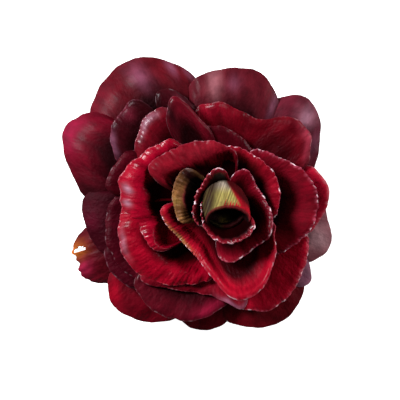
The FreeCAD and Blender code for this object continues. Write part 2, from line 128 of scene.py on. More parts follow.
LOOKS = {
    "outer_petal_top_left": dict(OUTER, colour=(0.085, 0.003, 0.007), patches=[
        (123, 8, 3.2, 6, 0.5, MAUVE_BLOOM_AND_SHEEN), (111, 2.5, 1.6, 3, 0.5, MAUVE_BLOOM_AND_SHEEN),
        (105, 1.5, 2.0, 2, 0.4, MAUVE_BLOOM_AND_SHEEN), (140, 3, 7, 6, 0.5, (0.14, 0.004, 0.015))]),
    # Its pale band near the rim is partly bloom, partly painted sheen.
    "outer_petal_top": dict(OUTER, colour=(0.08, 0.005, 0.01), patches=[
        (95, 5, 3.0, 6, 0.85, (0.34, 0.12, 0.14)), (86, 6, 3, 3, 0.3, MAUVE_BLOOM_AND_SHEEN),
        (65, 4, 2, 6, 0.5, MAUVE_BLOOM_AND_SHEEN)]),
    "outer_petal_top_right": dict(OUTER, colour=(0.09, 0.008, 0.017), patches=[
        (48, 5, 4, 4, 0.4, LILAC_HIGHLIGHT), (36, 3, 5, 4, 0.35, MAUVE_BLOOM_AND_SHEEN)]),
    # Its magenta patch near the rim is partly bloom, partly painted sheen; the black-red one is painted
    # shadow.
    "outer_petal_left_upper": dict(OUTER, colour=(0.11, 0.001, 0.008), patches=[
        (154, 2, 6, 4, 0.7, (0.26, 0.008, 0.04)), (174, 6, 8, 14, 0.9, BLACK_RED_SHADOW)]),
    "outer_petal_left": dict(OUTER, colour=(0.032, 0.001, 0.004), edge=(0.06, 0.003, 0.01), coat=0.0,
                             patches=[(184, 2, 5, 4, 0.6, (0.08, 0.002, 0.012))]),
    "outer_petal_left_lower": dict(OUTER, ragged=0.45, veins=0.7, colour=(0.08, 0.002, 0.006), patches=[
        (203, 2, 3, 3, 0.9, (0.26, 0.01, 0.04)), (196, 0, 2.6, 4, 1.0, ORANGE)]),
    "outer_petal_bottom_left": dict(OUTER, colour=(0.11, 0.001, 0.006), patches=[
        (217, 2, 4, 3, 0.9, (0.32, 0.001, 0.013))]),
    "outer_petal_bottom": dict(OUTER, colour=(0.1, 0.001, 0.006)),
    "outer_petal_bottom_right": dict(OUTER, colour=(0.085, 0.002, 0.005), patches=[
        (-85, 1, 6, 4, 0.7, (0.2, 0.001, 0.009))]),
    # Its pale patches are partly bloom, partly painted sheen.
    "outer_petal_right": dict(OUTER, colour=(0.2, 0.05, 0.065), edge=LILAC_HIGHLIGHT, dark=14.0, patches=[
        (-18, 5, 8, 5, 0.9, (0.42, 0.25, 0.27)), (2, 5, 6, 7, 0.6, (0.3, 0.12, 0.14))]),
    "outer_petal_right_lower": dict(OUTER, colour=(0.24, 0.09, 0.14), edge=LILAC_HIGHLIGHT, patches=[
        (-38, 3, 4, 2, 0.6, (0.07, 0.02, 0.04))]),
    "second_petal_top_left": dict(colour=(0.03, 0.001, 0.003), edge=(0.3, 0.06, 0.1),
                                  edge_width=0.6, coat=0.05, patches=[
                                      (150, 1, 4, 1.5, 0.6, MAUVE_BLOOM_AND_SHEEN),
                                      (136, 2, 3, 3, 0.5, (0.14, 0.01, 0.025))]),
    "second_petal_top": dict(colour=(0.03, 0.001, 0.003), edge=(0.12, 0.01, 0.02), patches=[
        (112, 4, 3, 4, 0.5, (0.1, 0.015, 0.025))]),
    "second_petal_left_upper": dict(colour=(0.06, 0.001, 0.005), edge=(0.12, 0.01, 0.02), coat=0.02),
    "second_petal_left": dict(colour=(0.05, 0.001, 0.005), edge=(0.1, 0.006, 0.014), coat=0.02),
    "second_petal_left_thin": dict(colour=(0.045, 0.001, 0.005), edge=(0.2, 0.04, 0.07), coat=0.02,
                                   edge_width=0.5),
    "second_petal_right": dict(colour=(0.36, 0.004, 0.022), edge=PALE_EDGE_HIGHLIGHT, edge_width=0.8),
    "second_petal_top_right": dict(colour=(0.1, 0.001, 0.005), edge=(0.34, 0.03, 0.05),
                                   deep=0.3, wave=0.7, patches=[
                                       (99, 2, 9, 3, 0.8, (0.24, 0.003, 0.015)),
                                       (38, 1, 9, 2, 0.7, (0.36, 0.04, 0.07))]),
    "second_petal_bottom_left": dict(colour=(0.075, 0.002, 0.007), edge=(0.22, 0.04, 0.06),
                                     patches=[(262, 2, 8, 4, 0.8, (0.24, 0.006, 0.03))]),
    "third_petal_top_left": dict(colour=(0.13, 0.002, 0.008), fold=[4.5], coat=0.3, patches=[
        (132, 1.6, 6, 1.2, 0.5, LILAC_HIGHLIGHT)]),
    "third_petal_top": dict(colour=(0.05, 0.001, 0.004), edge=(0.3, 0.01, 0.03)),
    # Its black-red patch is painted shadow.
    "third_petal_top_folded": dict(colour=(0.12, 0.003, 0.01), patches=[
        (120, 3, 3.5, 9, 0.9, BLACK_RED_SHADOW)]),
    "third_petal_bottom": dict(colour=(0.15, 0.002, 0.009), patches=[
        (274, 0.7, 7, 0.8, 0.7, (0.36, 0.14, 0.22))]),
    "third_petal_bottom_right": dict(colour=(0.3, 0.002, 0.014), bead=0.16, pleat=0.08, dark=22.0,
                                     edge_width=0.8, edge_share=0.7, glint=0.7, ragged=0.14),
    "third_petal_right": dict(colour=(0.13, 0.001, 0.007), bead=0.24, edge=ROSE_EDGE, glint=0.9,
                              edge_share=0.8, edge_width=0.9, pleat=0.07, wave=0.7, dark=14.0,
                              ragged=0.2, coat=0.0, rough=0.7),
    "third_petal_left_lower": dict(
        colour=(0.25, 0.001, 0.011), crinkle=0.05, bead=0.12, rough=0.32, coat=0.3, roll=0.5, dive=2.0,
        ragged=0.14, lobes=0.5, fold=[7, 8, 11, 9, 4, 3], bright=6.0, dark=12.0,
        patches=[(199, 1.5, 7, 1.0, 0.4, LILAC_HIGHLIGHT)]),
    "third_petal_left": dict(
        colour=(0.28, 0.001, 0.014), crinkle=0.05, rough=0.32, coat=0.3, roll=0.55, dive=4.0,
        ragged=0.18, lobes=0.7, wave=0.7, fold=[3, 4, 6, 11, 8, 3, 2], bright=8.0, dark=12.0,
        edge=PALE_EDGE_HIGHLIGHT, patches=[
            (169, 3.2, 2.4, 1.5, 0.7, LILAC_HIGHLIGHT), (177, 2.6, 2.0, 1.4, 0.7, LILAC_HIGHLIGHT)]),
    "inner_petal_top": dict(
        colour=(0.17, 0.003, 0.01), rough=0.5, coat=0.04, roll=0.5, dive=4.0, crinkle=0.06,
        pleat=0.1, ragged=0.14, fold=[1, 1, 5, 8, 8, 7, 3], bright=7.0, dark=10.0, deep=0.08,
        patches=[(114, 4, 14, 2.5, 0.4, (0.2, 0.01, 0.02))]),
    "inner_petal_bottom": dict(
        colour=(0.34, 0.003, 0.016), roll=0.7, dive=3.0, bead=0.2, ragged=0.14, edge_share=0.6,
        glint=0.7, fold=[3, 3, 3, 2, 1, 1], bright=3.4, dark=9.0, edge=ROSE_EDGE, edge_width=0.7,
        patches=[
            (212, 0.4, 17, 0.7, 0.9, OLIVE), (300, 6, 22, 5, 0.5, (0.2, 0.003, 0.012))]),
    "inner_petal_right": dict(colour=(0.22, 0.002, 0.011), bead=0.2, edge=ROSE_EDGE, glint=0.9,
                              ragged=0.14, edge_share=0.85, bright=1.5, dark=6.0, patches=[
                                  (66, 5, 20, 3, 0.7, (0.035, 0.007, 0.003))]),
    "heart_petal_right": dict(colour=(0.15, 0.002, 0.009), bead=0.2, edge=ROSE_EDGE, glint=1.0,
                              ragged=0.14, edge_width=0.6, edge_share=0.8, bright=1.5, dark=6.0),
    # Its black-red patch is painted shadow.
    "heart_petal_left": dict(colour=(0.24, 0.11, 0.035), edge=(0.3, 0.1, 0.07), crinkle=0.2,
                             rough=0.5, bright=3.6, dark=4.8, deep=0.03, patches=[
                                 (138, 3, 12, 9, 1.0, BLACK_RED_SHADOW), (172, 1.6, 4, 2, 0.5, OLIVE),
                                 (180, 3.0, 8, 0.8, 0.6, (0.10, 0.03, 0.012)),
                                 (168, 4.3, 12, 0.5, 0.9, (0.5, 0.04, 0.08))]),
    "bud_wrap_left": dict(colour=(0.16, 0.003, 0.01), bead=0.3, edge=(0.5, 0.06, 0.09), glint=1.0,
                          edge_share=0.9, edge_width=0.7, bright=0.8, dark=2.6, deep=0.03, coat=0.5,
                          rough=0.3, ragged=0.34, lobes=0.4),
    "bud_wrap_bottom": dict(colour=(0.15, 0.003, 0.01), bead=0.24, edge=(0.45, 0.04, 0.07),
                            edge_share=0.9, edge_width=0.6, bright=0.6, dark=2.0, coat=0.5, deep=0.05,
                            rough=0.3, ragged=0.24, glint=0.9),
}

# The petals' meshes. Lengths in millimetres, bearings in degrees.
SHEET_HALF = 0.15          # half a petal's thickness
THINNEST_HALF = 0.02       # the same at the very rim
RIM_RADIUS = 0.19          # radius of the rounded rim, without its lumps
RIM_ZONE = 0.9             # width of the finely divided band along the rim
BEARING_MARGIN = 0.05      # how far a petal stays inside the CAD petal's ends
COLUMN_STEP = 0.3          # spacing of the columns at COLUMN_REACH of the greatest distance
COLUMN_REACH = 0.9
EXTRA_COLUMNS = 12
INNER_ROWS = 44
INNER_CROWDING = 0.9       # powers by which the rows crowd towards the rim
RIM_ROWS = 13
RIM_CROWDING = 1.4
SMALLEST_FOLD = 0.3
DIVE_RUN = 2.5             # distance over which a petal sinks inside its fold
DIVE_GROWTH = 2.5          # how fast that sets in from the core outwards

# The pitch of each kind of ripple, in millimetres.
LOBE_PITCH = 7.0
RAGGED_PITCH = 1.9
WAVE_PITCH = 13.0
PLEAT_PITCH = 4.0
CRINKLE_PITCH = 1.6
CROSS_CRINKLE_PITCH = 2.6
LUMP_PITCH = 1.25
PATCH_PITCH = 5.0
EDGE_PITCH = 4.0
WEAR_PITCH = 9.0
GLINT_PITCH = 2.8
GLINT_GAP_PITCH = 8.0

GLINT_WIDTH = 0.4
# That darkening towards a petal's ends is painted shade.
FADE_RUN = 14.0            # degrees over which a petal darkens towards its ends
UNDERSIDE_SHADE = 0.8

# The crescent hole in the torn petal's dried tip, in degrees and in millimetres inside the rim: its
# middle, how far and over what distance that bows, and its half-widths.
TORN_PETAL = "outer_petal_left_lower"
HOLE_BEARING = 195.6
HOLE_INSET = 3.6
HOLE_BOW = 0.5
HOLE_BOW_RUN = 2.0
HOLE_HALF_ANGLE = 0.9
HOLE_HALF_DEPTH = 2.1


def look_of(name):
    """A petal's shape and colour values, its own where it has them."""
    return {**PLAIN, **LOOKS.get(name, {})}


def smooth_step(value):
    """An eased step from 0, at or below 0, to 1, at or above 1."""
    value = np.clip(value, 0.0, 1.0)
    return value * value * (3.0 - 2.0 * value)


def ripple(x, y, seed, pitch):
    """Irregular waves about pitch apart along x and long in y, mostly within -1 to 1."""
    rng = np.random.default_rng(seed)
    total = np.zeros(np.broadcast(x, y).shape)
    count = 7
    for _ in range(count):
        wave = 2 * math.pi / (pitch * rng.uniform(0.6, 1.7))
        slant = wave * rng.uniform(-0.35, 0.35)
        total = total + np.sin(wave * x + slant * y + rng.uniform(0, 2 * math.pi))
    return total / (count * 0.6)


def core_edge(layer):
    """Distance from the axis at which a layer's petals leave the core."""
    return CORE_RADIUS - CORE_TAPER * layer / TOP_LAYER * CORE_USED + GLUE_GAP


def layer_height(layer, radius):
    """Height of a layer's surface: nested bowls that flatten out beyond their walls and droop."""
    share = layer / TOP_LAYER
    base = BASE_HEIGHT + LAYER_PITCH * layer
    top = TOP_HEIGHT + TOP_GAIN * share ** TOP_CURVE
    bowl = BOWL_RADIUS * (1.0 - BOWL_NARROWING * share ** NARROWING_CURVE)
    run = np.maximum(radius - core_edge(layer), 0.0) / bowl
    droop = DROOP_RATE * np.maximum(radius - DROOP_START, 0.0) ** 2
    return base + (top - base) * (1.0 - np.exp(-run ** BOWL_STEEPNESS)) - droop


def smooth_line(values, at):
    """A smooth curve through evenly spaced values, at places counted in steps from the first."""
    values = np.array(values, float)
    if len(values) == 1:
        return values[0] + 0.0 * at
    slopes = np.gradient(values)
    index = np.clip(np.floor(at).astype(int), 0, len(values) - 2)
    t = at - index
    return (values[index] * (2 * t ** 3 - 3 * t ** 2 + 1)
            + values[index + 1] * (3 * t ** 2 - 2 * t ** 3)
            + slopes[index] * (t ** 3 - 2 * t ** 2 + t)
            + slopes[index + 1] * (t ** 3 - t ** 2))


def layer_of(name):
    """The layer of the core that a CAD petal is glued to, from the height of its foot."""
    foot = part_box(name)[0].z / MM + PETAL_THICKNESS
    return round((foot - BASE_HEIGHT) / LAYER_PITCH)


def cad_outline(name):
    """A CAD petal's edges seen from above, each as two bearings and two distances."""
    mesh = bpy.data.objects[name].data
    corners = np.array([vertex.co[:2] for vertex in mesh.vertices]) / MM
    middle = math.degrees(math.atan2(corners[:, 1].mean(), corners[:, 0].mean()))
    middle = (middle + 90.0) % 360.0 - 90.0
    bearing = np.degrees(np.arctan2(corners[:, 1], corners[:, 0]))
    bearing = (bearing - middle + 180.0) % 360.0 - 180.0 + middle
    edges = np.array([edge.vertices[:] for edge in mesh.edges])
    return bearing[edges], np.hypot(*corners.T)[edges]


def reach_at(ends, distances, bearing):
    """How far out a CAD petal reaches at each bearing: the outermost edge that crosses it."""
    first, last = np.sort(ends, axis=1).T
    order = np.argsort(ends, axis=1)
    near, far = np.take_along_axis(distances, order, axis=1).T
    reach = np.zeros(len(bearing))
    for index, at in enumerate(bearing):
        crossing = (first <= at + TINY) & (last >= at - TINY)
        along = (at - first[crossing]) / np.maximum(last[crossing] - first[crossing], TINY)
        along = np.clip(along, 0.0, 1.0)
        reach[index] = (near[crossing] + (far[crossing] - near[crossing]) * along).max()
    return reach


def unit(vectors):
    """Vectors scaled to length 1."""
    return vectors / np.maximum(np.linalg.norm(vectors, axis=-1, keepdims=True), 1e-9)


def surface_normals(points):
    """Unit normals of a grid of points, upwards."""
    return unit(np.cross(np.gradient(points, axis=1), np.gradient(points, axis=0)))


def petal_rim(name, look, seed):
    """A petal's bearings, the distance along its rim to each of them, and how far out it reaches
    there, with its lobes and its ragged edge."""
    ends, distances = cad_outline(name)
    start = ends.min() + BEARING_MARGIN
    stop = ends.max() - BEARING_MARGIN
    length = math.radians(stop - start) * distances.max() * COLUMN_REACH
    bearing = np.linspace(start, stop, int(length / COLUMN_STEP) + EXTRA_COLUMNS)
    reach = reach_at(ends, distances, bearing)[:, None]
    bearing = bearing[:, None]
    along = np.radians(bearing - start) * float(reach.mean())
    reach = reach + look["lobes"] * ripple(along, 0.0, seed + 40, LOBE_PITCH)
    reach = reach + look["ragged"] * ripple(along, 0.0, seed + 50, RAGGED_PITCH)
    return bearing, along, reach


def petal_rows(foot, reach):
    """How far from the axis each row of a petal lies: wide rows out from the core, then fine ones
    along the rim."""
    inner_share = np.linspace(0.0, 1.0, INNER_ROWS)[None, :] ** INNER_CROWDING
    inner = foot + (reach - RIM_ZONE - foot) * inner_share
    outer = reach - RIM_ZONE * np.linspace(1.0, 0.0, RIM_ROWS)[None, 1:] ** RIM_CROWDING
    return np.concatenate([inner, outer], axis=1)


def rolled_height(look, layer, radius, bearing, inset, share):
    """Height of a petal's surface: its layer's, rolled over at the rim and sunk inside the fold."""
    first, last = bearing.min(), bearing.max()
    steps = (bearing - first) / (last - first) * (len(look["fold"]) - 1)
    fold = np.maximum(smooth_line(look["fold"], steps), SMALLEST_FOLD)
    rolled = np.clip(1.0 - inset / fold, 0.0, 1.0)
    sunk = smooth_step((inset - fold) / DIVE_RUN) * smooth_step(share * DIVE_GROWTH)
    return layer_height(layer, radius) - look["roll"] * fold * rolled ** 2 - look["dive"] * sunk


def petal_grid(name, seed):
    """A petal's middle surface, and for each of its points the bearing, the distance inside the
    rim and the distance along the rim."""
    look = look_of(name)
    layer = layer_of(name)
    foot = core_edge(layer)
    bearing, along, reach = petal_rim(name, look, seed)
    radius = petal_rows(foot, reach)
    inset = reach - radius
    share = (radius - foot) / (reach - foot)
    grown = share ** 2
    across = along + 0 * radius
    bearing = bearing + 0 * radius
    height = rolled_height(look, layer, radius, bearing, inset, share)
    height = height + look["wave"] * ripple(across, radius, seed, WAVE_PITCH) * grown
    angle = np.radians(bearing)
    points = np.stack([radius * np.cos(angle), radius * np.sin(angle), height], axis=-1)
    relief = look["pleat"] * ripple(across, radius * 0.5, seed + 100, PLEAT_PITCH)
    relief = relief + look["crinkle"] * ripple(across, radius, seed + 200, CRINKLE_PITCH)
    relief = relief + look["crinkle"] * ripple(radius, across, seed + 250, CROSS_CRINKLE_PITCH)
    points = points + surface_normals(points) * (relief * grown)[..., None]
    return points, bearing, inset, across


def rim_lumps(across, seed):
    """How far the rim swells at each place along it, 0 to 1."""
    return smooth_step(0.5 + 0.75 * ripple(across, 0 * across, seed + 300, LUMP_PITCH))


def closed_sheet(points, half, kept):
    """Vertices and faces of a closed sheet on both sides of a grid of points, half its thickness
    at each point, with holes where quads aren't kept."""
    columns, rows = points.shape[:2]
    offset = surface_normals(points) * half[..., None]
    count = columns * rows
    vertices = np.concatenate([(points + offset).reshape(-1, 3), (points - offset).reshape(-1, 3)])
    index = np.arange(count).reshape(columns, rows)
    upper = np.stack([index[:-1, :-1], index[:-1, 1:], index[1:, 1:], index[1:, :-1]], -1)
    upper = upper[kept]
    lower = upper[:, ::-1] + count
    edges = np.concatenate([np.stack([upper[:, i], upper[:, (i + 1) % 4]], 1) for i in range(4)])
    forward = edges[:, 0] * count + edges[:, 1]
    backward = edges[:, 1] * count + edges[:, 0]
    border = edges[~np.isin(forward, backward)]
    side = np.stack([border[:, 1], border[:, 0], border[:, 0] + count, border[:, 1] + count], -1)
    faces = np.concatenate([upper, lower, side])
    used, inverse = np.unique(faces, return_inverse=True)
    return vertices[used], inverse.reshape(faces.shape), used


def new_piece(name, vertices, faces, body="rose"):
    """A smooth mesh in metres, from vertices in millimetres, that rides on a body if it has one."""
    mesh = bpy.data.meshes.new(name)
    mesh.from_pydata((np.asarray(vertices) * MM).tolist(), [], [list(face) for face in faces])
    mesh.polygons.foreach_set("use_smooth", np.ones(len(mesh.polygons), bool))
    mesh.update()
    piece = bpy.data.objects.new(name, mesh)
    bpy.context.scene.collection.objects.link(piece)
    if body:
        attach(piece, body)
    return piece


def store(piece, name, values, kind):
    """Keeps a value for every vertex, for the piece's material to read."""
    attribute = piece.data.attributes.new(name, kind, "POINT")
    field = "color" if kind == "FLOAT_COLOR" else "vector"
    attribute.data.foreach_set(field, np.asarray(values, np.float32).ravel())


def tinted(colour, tint, amount):
    """A colour mixed with another, at each point by its own amount."""
    amount = amount[..., None]
    return colour * (1 - amount) + np.array(tint) * amount


def patched(colour, look, bearing, inset, across, seed):
    """A petal's colour with uneven patches of own colour, painted sheen, highlight and shadow."""
    uneven = 1.0 + 0.3 * ripple(across, inset, seed + 400, PATCH_PITCH)
    for centre, depth, half_angle, half_depth, strength, tint in look["patches"]:
        far = ((bearing - centre) / half_angle) ** 2 + ((inset - depth) / half_depth) ** 2
        colour = tinted(colour, tint, strength * np.exp(-far * uneven))
    return colour


def with_painted_shade(colour, look, bearing, inset):
    """A petal's colour with painted shade: darker away from the rim and towards its ends."""
    shade = smooth_step((inset - look["bright"]) / (look["dark"] - look["bright"]))
    colour = colour * (1 - (1 - look["deep"]) * shade)[..., None]
    ends = np.minimum(bearing - bearing.min(), bearing.max() - bearing)
    return colour * (look["fade"] + (1 - look["fade"]) * smooth_step(ends / FADE_RUN))[..., None]


def worn_edge_and_highlight(look, inset, across, seed):
    """How much edge colour shows at each point: worn rim and painted highlight, strongest on lumps."""
    width = look["edge_width"] * (1.0 + 0.5 * ripple(across, 0 * inset, seed + 500, EDGE_PITCH))
    broken = 0.25 + 0.75 * rim_lumps(across, seed) ** 1.5
    broken = broken * (0.65 + 0.35 * ripple(across, 0 * inset, seed + 600, WEAR_PITCH))
    near_rim = smooth_step(1.3 - inset / np.maximum(width, 0.05))
    return near_rim * look["edge_share"] * broken


def rim_glints(look, inset, across, seed):
    """How much painted glint each point of a petal's rim gets, in groups with gaps between them."""
    shining = smooth_step((ripple(across, inset, seed + 650, GLINT_PITCH) + 0.05) / 0.5)
    gaps = ripple(across, 0 * inset, seed + 700, GLINT_GAP_PITCH)
    shining = shining * smooth_step(0.4 + 1.1 * gaps)
    thin = smooth_step(1.5 - inset / GLINT_WIDTH)
    return thin * look["glint"] * shining


def petal_colours(look, bearing, inset, across, seed):
    """A petal's colour at each point: ground, patches, painted shade, worn rim, painted highlights."""
    colour = np.ones(bearing.shape + (3,)) * np.array(look["colour"])
    colour = patched(colour, look, bearing, inset, across, seed)
    colour = with_painted_shade(colour, look, bearing, inset)
    colour = tinted(colour, look["edge"], worn_edge_and_highlight(look, inset, across, seed))
    return tinted(colour, GLINT, rim_glints(look, inset, across, seed))


def torn_hole(name, bearing, inset):
    """The quads to keep: all of them, but for the hole inside the torn petal's dried tip."""
    if name != TORN_PETAL:
        return np.ones((bearing.shape[0] - 1, bearing.shape[1] - 1), bool)
    out = inset[:-1, :-1] - HOLE_INSET
    middle = HOLE_BEARING + HOLE_BOW * (out / HOLE_BOW_RUN) ** 2
    oval = ((bearing[:-1, :-1] - middle) / HOLE_HALF_ANGLE) ** 2 + (out / HOLE_HALF_DEPTH) ** 2
    return oval > 1.0


def half_thickness(look, inset, across, seed):
    """Half a petal's thickness at each point: a round, lumpy rim on a thin sheet."""
    swell = RIM_RADIUS + look["bead"] * rim_lumps(across, seed)
    rounded = np.sqrt(np.maximum(swell ** 2 - (inset - swell) ** 2, 0.0))
    least = np.where(inset < swell, THINNEST_HALF, SHEET_HALF)
    return np.maximum(rounded, least)


def store_tint(piece, colours):
    """Keeps a colour for every vertex of a piece."""
    opaque = np.concatenate([colours, np.ones((len(colours), 1))], 1)
    store(piece, "tint", opaque, "FLOAT_COLOR")


def make_petal(name, seed):
    """One petal of coated cloth, in its colours with painted shade and highlights."""
    look = look_of(name)
    points, bearing, inset, across = petal_grid(name, seed)
    half = half_thickness(look, inset, across, seed)
    vertices, faces, used = closed_sheet(points, half, torn_hole(name, bearing, inset))
    piece = new_piece(name + "_cloth", vertices, faces)
    colours = petal_colours(look, bearing, inset, across, seed).reshape(-1, 3)
    store_tint(piece, np.concatenate([colours, colours * UNDERSIDE_SHADE])[used])
    place = np.stack([across, inset, np.full(inset.shape, 9.0 * seed)], -1).reshape(-1, 3)
    store(piece, "place", np.concatenate([place, place])[used], "FLOAT_VECTOR")
    piece.data.materials.append(petal_material(look["rough"], look["coat"], look["veins"]))
    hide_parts(name)


def node_tree(name):
    """A new material with its nodes and links."""
    material = bpy.data.materials.new(name)
    material.use_nodes = True
    return material, material.node_tree.nodes, material.node_tree.links


def ramp(nodes, links, source, stops):
    """A colour ramp on a value."""
    node = nodes.new("ShaderNodeValToRGB")
    while len(node.color_ramp.elements) < len(stops):
        node.color_ramp.elements.new(0.5)
    for element, (position, colour) in zip(node.color_ramp.elements, stops):
        element.position = position
        element.color = (*colour, 1.0)
    links.new(source, node.inputs[0])
    return node.outputs[0]


def noise(nodes, links, vector, scale, detail):
    """Cloudy noise, 0 to 1, at a place."""
    node = nodes.new("ShaderNodeTexNoise")
    node.inputs["Scale"].default_value = scale
    node.inputs["Detail"].default_value = detail
    links.new(vector, node.inputs["Vector"])
    return node.outputs["Fac"]


def multiply(nodes, links, colour, factor):
    """Two colours multiplied."""
    node = nodes.new("ShaderNodeMix")
    node.data_type = "RGBA"
    node.blend_type = "MULTIPLY"
    node.inputs[0].default_value = 1.0
    links.new(colour, node.inputs[6])
    links.new(factor, node.inputs[7])
    return node.outputs[2]


def stretched(nodes, links, source, stretch):
    """A place multiplied along each axis, so that what is drawn there is drawn out or squeezed."""
    node = nodes.new("ShaderNodeVectorMath")
    node.operation = "MULTIPLY"
    node.inputs[1].default_value = stretch
    links.new(source, node.inputs[0])
    return node.outputs[0]


def remap(nodes, links, value, low, high, start=0.0, stop=1.0):
    """A value scaled so that start becomes low and stop becomes high."""
    node = nodes.new("ShaderNodeMapRange")
    node.inputs["From Min"].default_value = start
    node.inputs["From Max"].default_value = stop
    node.inputs["To Min"].default_value = low
    node.inputs["To Max"].default_value = high
    links.new(value, node.inputs["Value"])
    return node.outputs[0]


def stored(nodes, name, output):
    """A value that was kept for every vertex."""
    node = nodes.new("ShaderNodeAttribute")
    node.attribute_name = name
    return node.outputs[output]


def bump(nodes, links, height, strength, distance, below=None):
    """Normals bent by a height, on top of another bump where there is one."""
    node = nodes.new("ShaderNodeBump")
    node.inputs["Strength"].default_value = strength
    node.inputs["Distance"].default_value = distance
    links.new(height, node.inputs["Height"])
    if below:
        links.new(below, node.inputs["Normal"])
    return node.outputs[0]


PETAL_MATERIALS = {}


def coat_petal(nodes, links, shader, spot, coat):
    """A clear coat, strongest near the rim."""
    apart = nodes.new("ShaderNodeSeparateXYZ")
    links.new(spot, apart.inputs[0])
    inset = apart.outputs["Y"]
    links.new(remap(nodes, links, inset, coat, 0.3 * coat, 0.5, 3.0), shader.inputs["Coat Weight"])
    shader.inputs["Coat Roughness"].default_value = 0.2
    shader.inputs["Specular IOR Level"].default_value = 0.06
    shader.inputs["Specular Tint"].default_value = (1.0, 0.55, 0.65, 1.0)


def petal_material(rough, coat, vein_strength):
    """Coated petal cloth: veins that run out to the rim, mottling, and a clear coat."""
    name = f"petal_coat_{int(rough * 100)}_{int(coat * 100)}_{int(vein_strength * 100)}"
    if name in PETAL_MATERIALS:
        return PETAL_MATERIALS[name]
    material, nodes, links = node_tree(name)
    shader = nodes["Principled BSDF"]
    spot = stored(nodes, "place", "Vector")
    veins = noise(nodes, links, stretched(nodes, links, spot, (1.3, 0.16, 1.0)), 1.0, 6.0)
    mottle = noise(nodes, links, stretched(nodes, links, spot, (0.24, 0.2, 1.0)), 1.0, 5.0)
    grain = noise(nodes, links, stretched(nodes, links, spot, (0.9, 0.7, 1.0)), 1.0, 8.0)
    between = tuple(1.0 - vein_strength * loss for loss in (0.14, 0.2, 0.18))
    vein_shade = ramp(nodes, links, veins, [(0.38, between), (0.6, (1.04, 1.05, 1.05))])
    mottle_shade = ramp(nodes, links, mottle, [(0.34, (0.66, 0.6, 0.62)),
                                               (0.66, (1.2, 1.15, 1.15))])
    colour = multiply(nodes, links, stored(nodes, "tint", "Color"), vein_shade)
    colour = multiply(nodes, links, colour, mottle_shade)
    links.new(colour, shader.inputs["Base Color"])
    links.new(remap(nodes, links, mottle, rough - 0.1, rough + 0.18), shader.inputs["Roughness"])
    coarse = bump(nodes, links, grain, 0.6, 0.0006)
    fine = bump(nodes, links, veins, 0.25 * vein_strength, 0.0004, coarse)
    links.new(fine, shader.inputs["Normal"])
    coat_petal(nodes, links, shader, spot, coat)
    PETAL_MATERIALS[name] = material
    return material


# The bud's rings: middle in X and Y, height, half-width in X and Y, from its foot up to its lip
# and then down inside it.
BUD_OUTSIDE = [(0.5, 0.8, 33.0, 2.4, 2.4), (-0.4, 2.0, 36.0, 5.6, 6.6), (-0.6, 2.2, 39.2, 7.6, 8.0),
               (0.2, 0.2, 42.3, 8.3, 8.2), (0.8, -3.2, 44.4, 8.2, 5.9), (0.8, -4.4, 45.1, 8.0, 5.0)]
BUD_INSIDE = [(0.8, -4.6, 44.8, 7.4, 4.3), (0.6, -4.0, 42.5, 7.1, 5.2), (0.4, -1.5, 39.5, 5.6, 5.6),
              (0.4, -0.5, 37.2, 3.0, 3.0), (0.4, -0.4, 36.8, 0.3, 0.3)]
BUD_OUTSIDE_ROWS = 70
BUD_INSIDE_ROWS = 40
BUD_RIM_ROW = BUD_OUTSIDE_ROWS - 0.5
BUD_COLUMNS = 240
BUD_RADIUS = 8.0
BUD_WOBBLE = 0.015         # share by which its rings are out of round
LIP_WAVE = 0.4
FRONT_SINK = 9.0           # how much lower its lip is in front

# The bud's colours, linear light.
BUD_STRAW = (0.29, 0.25, 0.07)
BUD_GREY = (0.29, 0.25, 0.19)
BUD_BROWN = (0.024, 0.012, 0.006)
BUD_RED = (0.30, 0.004, 0.012)
BUD_CURL = (0.10, 0.008, 0.010)
# Painted shade in the bud's hollow.
BUD_HOLLOW_SHADE = (0.008, 0.002, 0.002)
BUD_OLIVE = (0.13, 0.10, 0.022)


def eased_rings(rings, steps):
    """Rings in between, on smooth curves through the given ones."""
    fine = np.linspace(0, len(rings) - 1, steps)
    columns = [smooth_line([ring[i] for ring in rings], fine) for i in range(5)]
    return np.stack(columns, -1)


def bud_surface():
    """The bud's rings of points, how far round it each lies and the number of its ring."""
    rings = np.concatenate([eased_rings(BUD_OUTSIDE, BUD_OUTSIDE_ROWS),
                            eased_rings(BUD_INSIDE, BUD_INSIDE_ROWS)])
    angle = np.linspace(0, 2 * math.pi, BUD_COLUMNS, endpoint=False)[:, None]
    centre_x, centre_y, height, half_x, half_y = (rings[None, :, i] for i in range(5))
    level = np.arange(len(rings))[None, :] + 0 * angle
    around = angle * BUD_RADIUS
    wobble = 1.0 + BUD_WOBBLE * ripple(around, level * 0.15, 11, 5.0)
    x = centre_x + half_x * wobble * np.cos(angle)
    y = centre_y + half_y * wobble * np.sin(angle)
    lip = np.exp(-((level - BUD_RIM_ROW) / 4.0) ** 2)
    z = height + lip * LIP_WAVE * ripple(around, level * 0.1, 12, 7.0)
    near_lip = smooth_step((level - 30.0) / 25.0) * smooth_step((96.0 - level) / 22.0)
    z = z - FRONT_SINK * near_lip * smooth_step((-np.sin(angle) - 0.05) / 0.7)
    return np.stack([x, y, z], -1), around + 0 * x, level


def make_bud():
    """The rolled petal at the heart of the rose, straw-coloured outside, painted dark with shade
    inside.
    """
    grid, around, level = bud_surface()
    piece = new_piece("bud_roll_cloth", *capped_tube(grid))
    colours = bud_colours(grid[..., 0], grid[..., 1], level).reshape(-1, 3)
    store_tint(piece, np.concatenate([colours, np.full((2, 3), 0.01)]))
    place = np.stack([around, level * 0.35, np.full(around.shape, 770.0)], -1).reshape(-1, 3)
    store(piece, "place", np.concatenate([place, np.zeros((2, 3))]), "FLOAT_VECTOR")
    piece.data.materials.append(petal_material(0.6, 0.03, 1.0))
    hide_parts("bud_roll")


